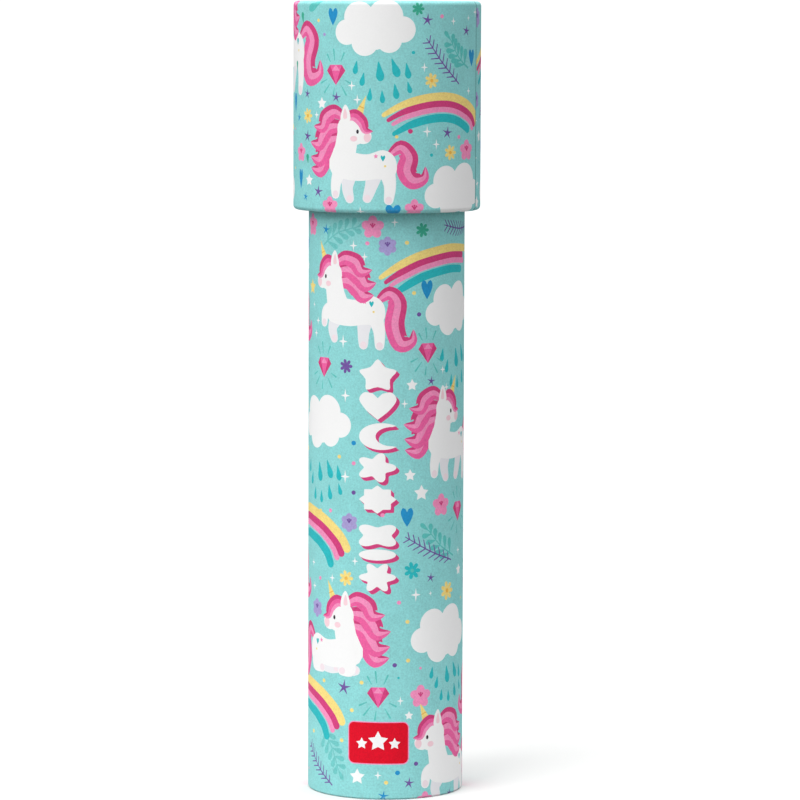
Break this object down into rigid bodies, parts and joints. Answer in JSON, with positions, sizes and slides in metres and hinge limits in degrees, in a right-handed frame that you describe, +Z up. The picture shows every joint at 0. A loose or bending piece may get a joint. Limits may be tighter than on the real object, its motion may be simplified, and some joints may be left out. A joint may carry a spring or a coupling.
{
  "type": "kaleidoscope",
  "caption": "Slim wrapped-cardboard toy kaleidoscope that stands on its eyepiece end, with a wide turning head that holds a chamber of loose coloured pieces.",
  "frame": {"origin": "centre of the flat ring that the barrel stands on, at the eyepiece end", "axes": "+Z up along the tube's axis, from the eyepiece to the turning head; -Y is the front of the print"},
  "size_m": [0.052, 0.052, 0.22],
  "materials": {
    "printed_paper": "matte",
    "greyboard": "matte",
    "black_card": "matte",
    "packing_card": "matte",
    "rim_card": "matte",
    "mirror_glass": "polished",
    "clear_plastic": "gloss",
    "frosted_plastic": "matte",
    "piece_pink": "gloss",
    "piece_red": "gloss",
    "piece_yellow": "gloss",
    "piece_blue": "gloss",
    "piece_green": "gloss",
    "piece_purple": "gloss"
  },
  "bodies": {
    "barrel": {"main_tube": "greyboard", "tube_wrap": "printed_paper", "eyepiece_disc": "black_card", "eyepiece_window": "clear_plastic", "eyepiece_ring": "greyboard", "prism_mask_lower": "black_card", "mirror_strip_1": "mirror_glass", "mirror_strip_2": "mirror_glass", "mirror_strip_3": "mirror_glass", "packing_strip_1": "packing_card", "packing_strip_2": "packing_card", "packing_strip_3": "packing_card", "prism_mask_upper": "black_card", "stop_collar": "greyboard"},
    "head": {"head_shell": "greyboard", "head_wrap": "printed_paper", "head_lower_ring": "greyboard", "head_inner_sleeve": "greyboard", "chamber_inner_window": "clear_plastic", "chamber_spacer_ring": "greyboard", "chamber_outer_window": "frosted_plastic", "front_rim_ring": "rim_card"},
    "low_pieces": {"tumble_low_star_pink": "piece_pink", "tumble_low_heart_red": "piece_red", "tumble_low_hexagon_blue": "piece_blue", "tumble_low_rod_yellow": "piece_yellow", "tumble_low_triangle_green": "piece_green", "tumble_low_washer_purple": "piece_purple"},
    "middle_pieces": {"tumble_middle_heart_pink": "piece_pink", "tumble_middle_triangle_yellow": "piece_yellow", "tumble_middle_star_blue": "piece_blue", "tumble_middle_bead_red": "piece_red", "tumble_middle_washer_green": "piece_green", "tumble_middle_rod_purple": "piece_purple"},
    "high_pieces": {"tumble_high_star_yellow": "piece_yellow", "tumble_high_hexagon_pink": "piece_pink", "tumble_high_heart_purple": "piece_purple", "tumble_high_bead_blue": "piece_blue", "tumble_high_rod_green": "piece_green", "tumble_high_triangle_red": "piece_red"}
  },
  "joints": [
    {"name": "head_turn", "type": "hinge", "parent": "barrel", "child": "head", "pos_m": [0, 0, 0.19], "axis": [0, 0, 1], "continuous": true},
    {"name": "low_pieces_tumble", "type": "hinge", "parent": "head", "child": "low_pieces", "pos_m": [0, 0, 0.2073], "axis": [0, 0, 1], "continuous": true},
    {"name": "middle_pieces_tumble", "type": "hinge", "parent": "head", "child": "middle_pieces", "pos_m": [0, 0, 0.2096], "axis": [0, 0, 1], "continuous": true},
    {"name": "high_pieces_tumble", "type": "hinge", "parent": "head", "child": "high_pieces", "pos_m": [0, 0, 0.2119], "axis": [0, 0, 1], "continuous": true}
  ]
}
